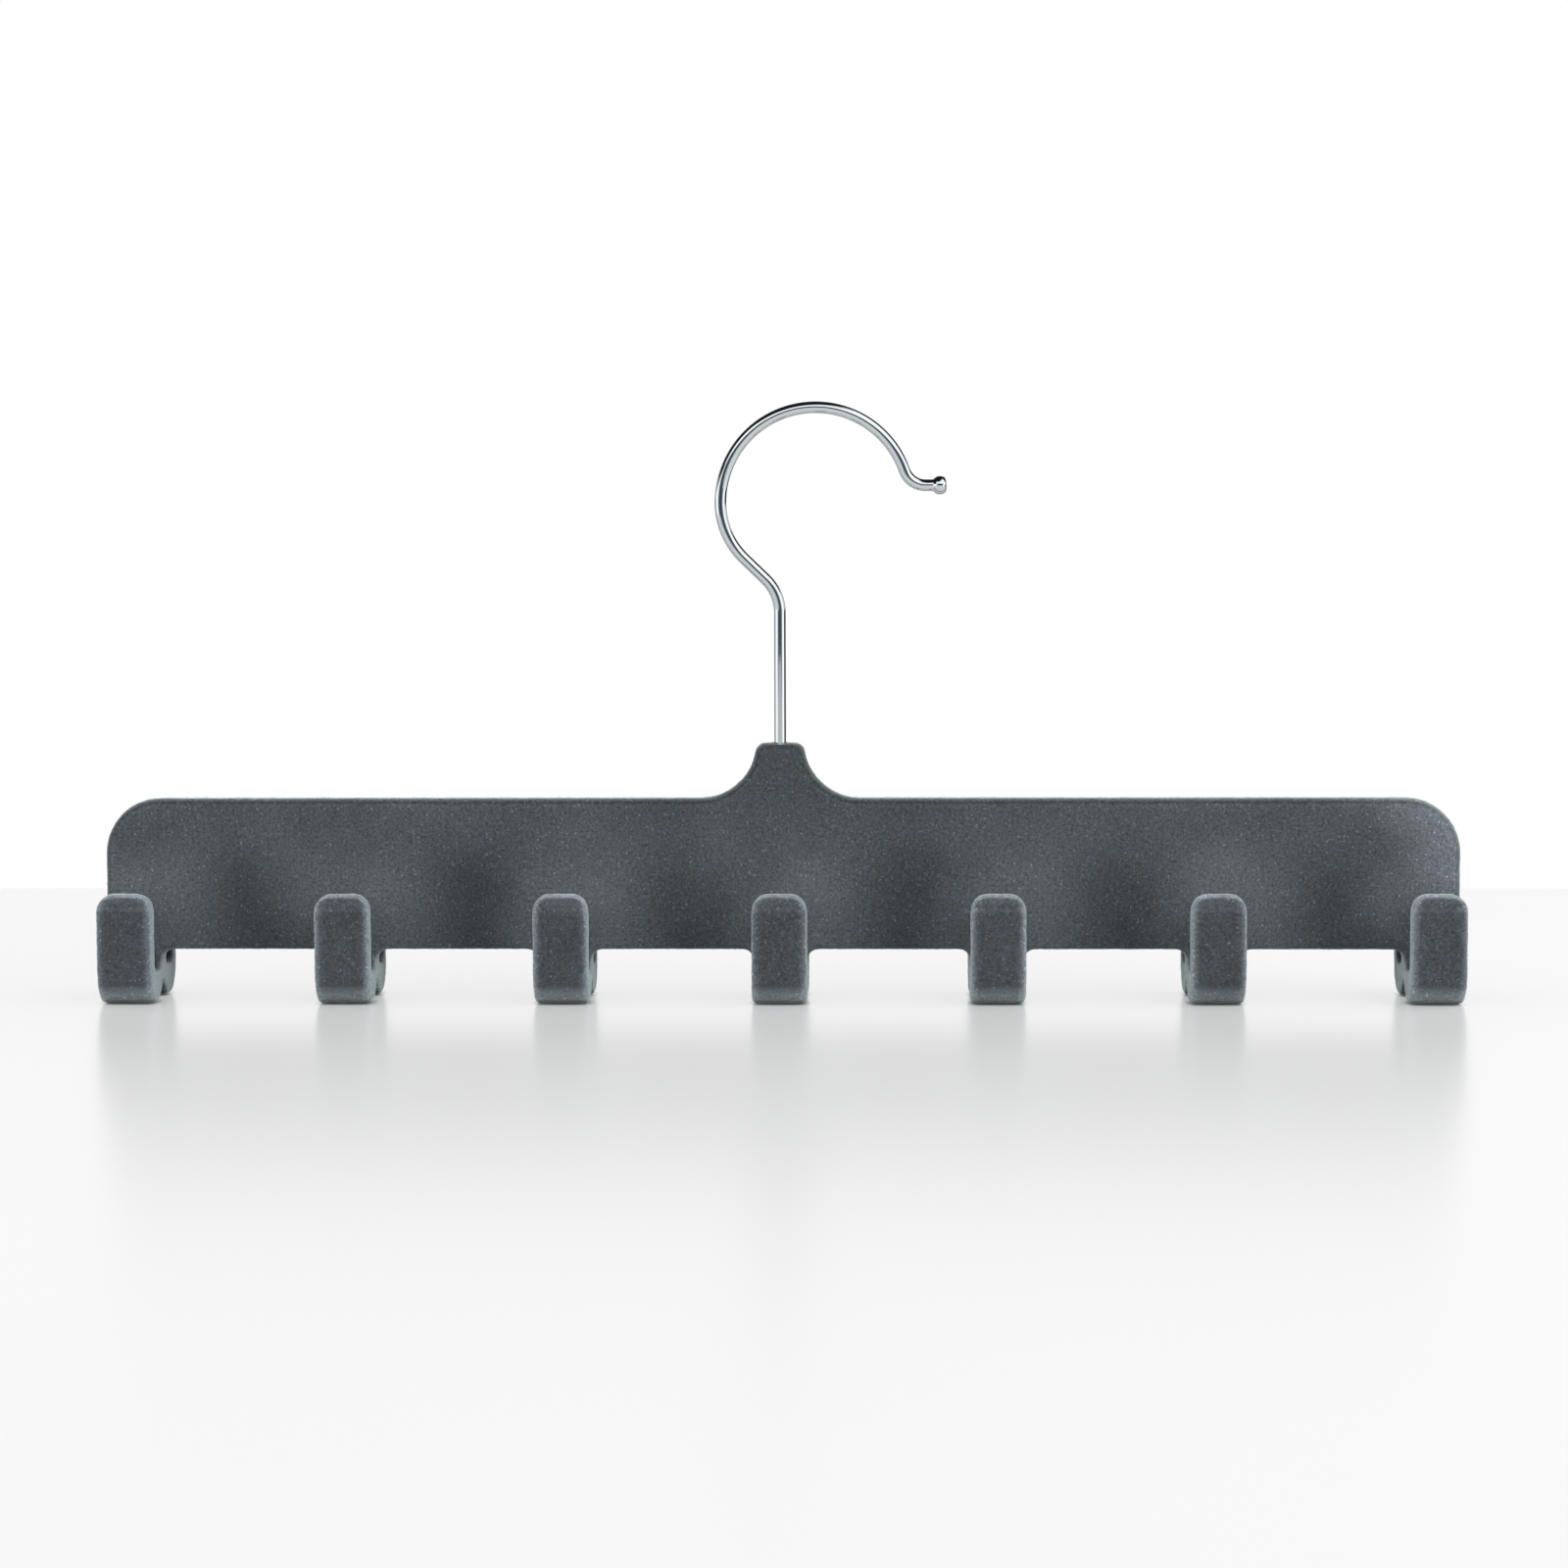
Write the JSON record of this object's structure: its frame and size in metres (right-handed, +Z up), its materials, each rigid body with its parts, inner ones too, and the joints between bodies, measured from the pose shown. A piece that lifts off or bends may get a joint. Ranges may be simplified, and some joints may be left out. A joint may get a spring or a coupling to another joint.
{
  "type": "belt hanger",
  "caption": "Flat flocked bar with double-sided belt hooks along its lower edge and a chromed wire hook that swivels in its neck.",
  "frame": {"origin": "on the standing surface, midway along the bar and midway through its thickness", "axes": "+X along the bar towards the wire hook's open side, -Y the front, +Z up"},
  "size_m": [0.35, 0.034, 0.1543],
  "materials": {
    "flock": "short grey flock on a plastic moulding",
    "chrome": "bright chromed wire"
  },
  "bodies": {
    "hanger": {"bar": "flock", "belt_hook_1": "flock", "belt_hook_2": "flock", "belt_hook_3": "flock", "belt_hook_4": "flock", "belt_hook_5": "flock", "belt_hook_6": "flock", "belt_hook_7": "flock"},
    "swivel_hook": {"wire_hook": "chrome"}
  },
  "joints": [
    {"name": "hook_swivel", "type": "hinge", "parent": "hanger", "child": "swivel_hook", "pos_m": [0, 0, 0.0664], "axis": [0, 0, 1], "continuous": true}
  ]
}
